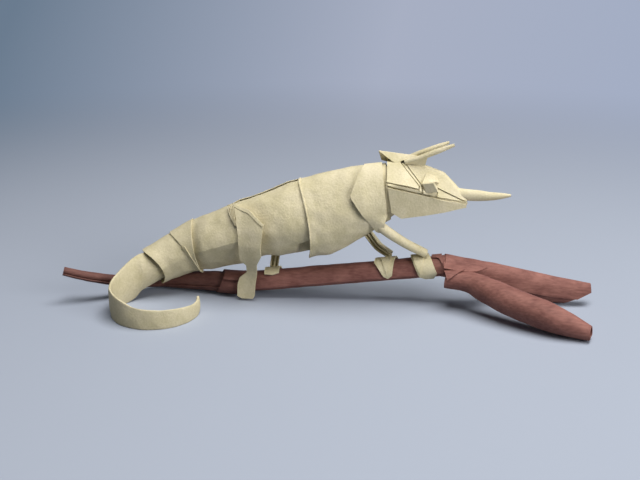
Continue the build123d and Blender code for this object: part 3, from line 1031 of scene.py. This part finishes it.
def horn_flap_point(x, z):
    """The corner of paper between the near horn and the brow leans in below."""
    return Vector((x, -3.4 - 0.3 * (z - 72), z))


near_wing = [(17.3, 0.0), (25.6, 5.1), (28.6, 3.4), (35.8, 0.4), (35.8, 0.0)]
far_wing = [(17.3, 0.0), (18.6, 6.0), (25.0, 7.4), (30.0, 5.4), (35.8, 0.4), (35.8, 0.0)]
horn_flap = [(30.2, 72.4), (39.6, 71.2), (40.6, 75.6), (34.0, 74.0)]
flap(cream_folds, near_wing, hood_near, paper_thick, dents=0.15)
flap(cream_folds, far_wing, hood_far, paper_thick, dents=0.15)
flap(cream_folds, horn_flap, horn_flap_point, thick=0.4, dents=0.1)


# Eyes: slanted turrets closed by a tilted face, each under a lid

eye_x = 42.3
eye_z = 62.4
eye_root = 4.0                       # distances from the head's middle plane
eye_middle = 7.0
eye_face = 10.4
eye_tilt = 0.2
# Corners of the eye from its middle: across and up
eye_corners = [(-3.7, 1.7), (1.5, 2.8), (3.7, -1.7), (-1.5, -2.9)]


def eye_ring(side, out, tilt=0.0):
    """The eye's corners; a tilted ring leans out at its top and front."""
    return [
        Vector((eye_x + across, side * (out + tilt * (rise + across)), eye_z + rise))
        for across, rise in eye_corners
    ]


lid_corners = [(38.6, 64.8), (40.4, 67.8), (45.2, 66.0), (46.7, 63.2)]
for side in (near, far):
    face = eye_ring(side, eye_face, eye_tilt)
    turret = [eye_ring(side, eye_root), eye_ring(side, eye_middle), face]
    fold(cream_folds, *lattice(turret, closed=True), thin_edge, dents=0.0)
    fold(cream_folds, face, [(0, 1, 2, 3)], thin_edge, dents=0.0)
    top_rear, top_front = eye_ring(side, eye_face - 1.0, eye_tilt)[:2]
    lid = [on_head(x, z, 0.6, side) for x, z in lid_corners] + [top_rear, top_front]
    fold(cream_folds, lid, [(0, 1, 4), (1, 2, 5, 4), (2, 3, 5)], thin_edge, dents=0.0)


# Materials

def paper_material(name, light, dark, rough, grain, painted_shade_left):
    """Matt craft paper: cloudy colour, short fibres and a slight tooth.

    The last argument is painted shade: how much of the colour's lightness is left towards the
    tail's end, where the body's shadow and the weaker light make it darker.
    """
    material = bpy.data.materials.new(name)
    material.use_nodes = True
    nodes = material.node_tree.nodes
    links = material.node_tree.links
    shader = nodes["Principled BSDF"]
    shader.inputs["Roughness"].default_value = rough
    shader.inputs["Specular IOR Level"].default_value = 0.25

    # Colour: soft clouds and short fibres between a light and a dark tone
    spot = nodes.new("ShaderNodeTexCoord")
    clouds = nodes.new("ShaderNodeTexNoise")
    clouds.inputs["Scale"].default_value = 120
    clouds.inputs["Detail"].default_value = 4
    links.new(spot.outputs["Object"], clouds.inputs["Vector"])
    stretch = nodes.new("ShaderNodeMapping")
    stretch.inputs["Scale"].default_value = grain
    links.new(spot.outputs["Object"], stretch.inputs["Vector"])
    fibres = nodes.new("ShaderNodeTexNoise")
    fibres.inputs["Scale"].default_value = 1000
    fibres.inputs["Detail"].default_value = 3
    links.new(stretch.outputs["Vector"], fibres.inputs["Vector"])
    blend = nodes.new("ShaderNodeMix")
    blend.data_type = "FLOAT"
    blend.inputs["Factor"].default_value = 0.45
    links.new(clouds.outputs["Fac"], blend.inputs[2])      # A and B of a float mix
    links.new(fibres.outputs["Fac"], blend.inputs[3])
    ramp = nodes.new("ShaderNodeValToRGB")
    ramp.color_ramp.elements[0].position = 0.32
    ramp.color_ramp.elements[0].color = (*dark, 1)
    ramp.color_ramp.elements[1].position = 0.66
    ramp.color_ramp.elements[1].color = (*light, 1)
    links.new(blend.outputs[0], ramp.inputs["Fac"])

    # Painted shade: the colour is darkened towards the tail's end, for the body's shadow and the
    # weaker light there
    split = nodes.new("ShaderNodeSeparateXYZ")
    links.new(spot.outputs["Object"], split.inputs[0])
    painted_shade_fade = nodes.new("ShaderNodeMapRange")
    painted_shade_fade.interpolation_type = "SMOOTHSTEP"
    painted_shade_fade.inputs["From Min"].default_value = -0.06
    painted_shade_fade.inputs["From Max"].default_value = -0.02
    painted_shade_fade.inputs["To Min"].default_value = painted_shade_left
    links.new(split.outputs["X"], painted_shade_fade.inputs["Value"])
    painted_shade_colour = nodes.new("ShaderNodeVectorMath")
    painted_shade_colour.operation = "SCALE"
    links.new(ramp.outputs["Color"], painted_shade_colour.inputs[0])
    links.new(painted_shade_fade.outputs["Result"], painted_shade_colour.inputs["Scale"])
    links.new(painted_shade_colour.outputs["Vector"], shader.inputs["Base Color"])

    # Tooth: the fibres stand up slightly
    bump = nodes.new("ShaderNodeBump")
    bump.inputs["Strength"].default_value = 0.45
    bump.inputs["Distance"].default_value = 0.0004
    links.new(fibres.outputs["Fac"], bump.inputs["Height"])
    links.new(bump.outputs["Normal"], shader.inputs["Normal"])
    return material


# The last value of each paper is painted shade towards the tail's end
cream = paper_material(
    "cream_paper", light=(0.81, 0.73, 0.52), dark=(0.64, 0.575, 0.35), rough=0.8,
    grain=(1, 1, 1), painted_shade_left=0.9,
)
brown = paper_material(
    "brown_paper", light=(0.34, 0.155, 0.125), dark=(0.17, 0.066, 0.055), rough=0.65,
    grain=(0.25, 1, 1), painted_shade_left=0.55,
)

join(cream_folds, "chameleon_sheet", cream, "chameleon")
join(brown_folds, "branch_sheet", brown, "branch")


# Studio: a pale floor that falls off into blue-grey, a soft lamp overhead and a fill in front

def value_node(tree, operation, *sources):
    """Math node; each source is a socket or a number."""
    node = tree.nodes.new("ShaderNodeMath")
    node.operation = operation
    for number, source in enumerate(sources):
        if isinstance(source, (int, float)):
            node.inputs[number].default_value = source
        else:
            tree.links.new(source, node.inputs[number])
    return node.outputs[0]


def seen_directly(tree):
    """1 for what the camera sees, also by way of gloss or glass, and 0 for light that bounces."""
    path = tree.nodes.new("ShaderNodeLightPath").outputs
    seen = value_node(tree, "MAXIMUM", path["Is Camera Ray"], path["Is Glossy Ray"])
    return value_node(tree, "MAXIMUM", seen, path["Is Transmission Ray"])


def floor_material():
    """Matt floor near the object; further off the camera sees a glowing studio backdrop, darker to
    the left by painted shade.
    """
    material = bpy.data.materials.new("floor")
    material.use_nodes = True
    tree = material.node_tree
    nodes = tree.nodes
    links = tree.links
    matt = nodes["Principled BSDF"]
    matt.inputs["Roughness"].default_value = 0.9
    matt.inputs["Specular IOR Level"].default_value = 0.1

    # Backdrop's glow: painted shade that fans out from the object, darker to the left where less
    # light falls
    spot = nodes.new("ShaderNodeTexCoord")
    split = nodes.new("ShaderNodeSeparateXYZ")
    links.new(spot.outputs["Object"], split.inputs[0])
    depth = value_node(tree, "ABSOLUTE", split.outputs["Y"])
    depth = value_node(tree, "ADD", depth, 0.55)
    fan = value_node(tree, "DIVIDE", split.outputs["X"], depth)
    across = value_node(tree, "MULTIPLY_ADD", fan, 1.1, 0.5)
    backdrop_painted_shade = nodes.new("ShaderNodeValToRGB")
    stops = backdrop_painted_shade.color_ramp.elements
    stops[0].position = 0.05
    stops[0].color = (0.145, 0.20, 0.275, 1)
    stops[1].position = 0.95
    stops[1].color = (0.36, 0.42, 0.56, 1)
    middle = stops.new(0.5)
    middle.color = (0.39, 0.43, 0.545, 1)
    links.new(across, backdrop_painted_shade.inputs["Fac"])
    glow = nodes.new("ShaderNodeEmission")
    links.new(backdrop_painted_shade.outputs["Color"], glow.inputs["Color"])

    # Backdrop's share: it grows with the distance from the object, for what is seen only
    away = nodes.new("ShaderNodeVectorMath")
    away.operation = "LENGTH"
    links.new(spot.outputs["Object"], away.inputs[0])
    share = nodes.new("ShaderNodeMapRange")
    share.interpolation_type = "SMOOTHSTEP"
    share.inputs["From Min"].default_value = 0.16
    share.inputs["From Max"].default_value = 0.75
    links.new(away.outputs["Value"], share.inputs["Value"])
    seen = seen_directly(tree)
    share = value_node(tree, "MULTIPLY", share.outputs["Result"], seen)
    mix = nodes.new("ShaderNodeMixShader")
    links.new(share, mix.inputs["Fac"])

    # Floor's colour: darker for light that bounces, so that little comes back from below
    shade = nodes.new("ShaderNodeMix")
    shade.data_type = "RGBA"
    shade.inputs[6].default_value = (0.24, 0.26, 0.30, 1)      # A and B of a colour mix
    shade.inputs[7].default_value = (0.395, 0.44, 0.53, 1)
    links.new(seen, shade.inputs[0])
    links.new(shade.outputs[2], matt.inputs["Base Color"])
    links.new(matt.outputs[0], mix.inputs[1])
    links.new(glow.outputs[0], mix.inputs[2])
    links.new(mix.outputs[0], nodes["Material Output"].inputs["Surface"])
    return material


floor_reach = 30.0
floor_mesh = bpy.data.meshes.new("floor")
floor_mesh.from_pydata([(-1, -1, 0), (1, -1, 0), (1, 1, 0), (-1, 1, 0)], [], [(0, 1, 2, 3)])
floor_mesh.transform(Matrix.Scale(floor_reach, 4))
floor_mesh.materials.append(floor_material())
floor = bpy.data.objects.new("floor", floor_mesh)
bpy.context.scene.collection.objects.link(floor)


def soft_lamp(name, place, aim_at, width, height, energy, color):
    """Rectangular lamp turned towards a point."""
    data = bpy.data.lights.new(name, "AREA")
    data.shape = "RECTANGLE"
    data.size = width
    data.size_y = height
    data.energy = energy
    data.color = color
    lamp = bpy.data.objects.new(name, data)
    lamp.location = Vector(place)
    lamp.rotation_euler = (Vector(aim_at) - lamp.location).to_track_quat("-Z", "Y").to_euler()
    bpy.context.scene.collection.objects.link(lamp)


soft_lamp(
    "key", place=(0.18, -0.12, 0.95), aim_at=(0, 0, 0.03), width=0.9, height=0.42,
    energy=10.7, color=(1.0, 0.98, 0.95),
)
soft_lamp(
    "fill", place=(1.05, -0.65, 0.5), aim_at=(0.03, 0, 0.03), width=0.7, height=0.5,
    energy=9.4, color=(1.0, 0.98, 0.96),
)

# World: a weak cool light from all round, and an even blue-grey where it is seen
world = bpy.data.worlds.new("studio")
world.use_nodes = True
sky = world.node_tree
sky_light = sky.nodes["Background"]
sky_light.inputs["Color"].default_value = (0.85, 0.92, 1.0, 1)
sky_light.inputs["Strength"].default_value = 0.04
sky_seen = sky.nodes.new("ShaderNodeBackground")
sky_seen.inputs["Color"].default_value = (0.30, 0.35, 0.46, 1)
sky_mix = sky.nodes.new("ShaderNodeMixShader")
sky.links.new(seen_directly(sky), sky_mix.inputs["Fac"])
sky.links.new(sky_light.outputs[0], sky_mix.inputs[1])
sky.links.new(sky_seen.outputs[0], sky_mix.inputs[2])
sky.links.new(sky_mix.outputs[0], sky.nodes["World Output"].inputs["Surface"])
bpy.context.scene.world = world
bpy.context.scene.view_settings.view_transform = "Standard"
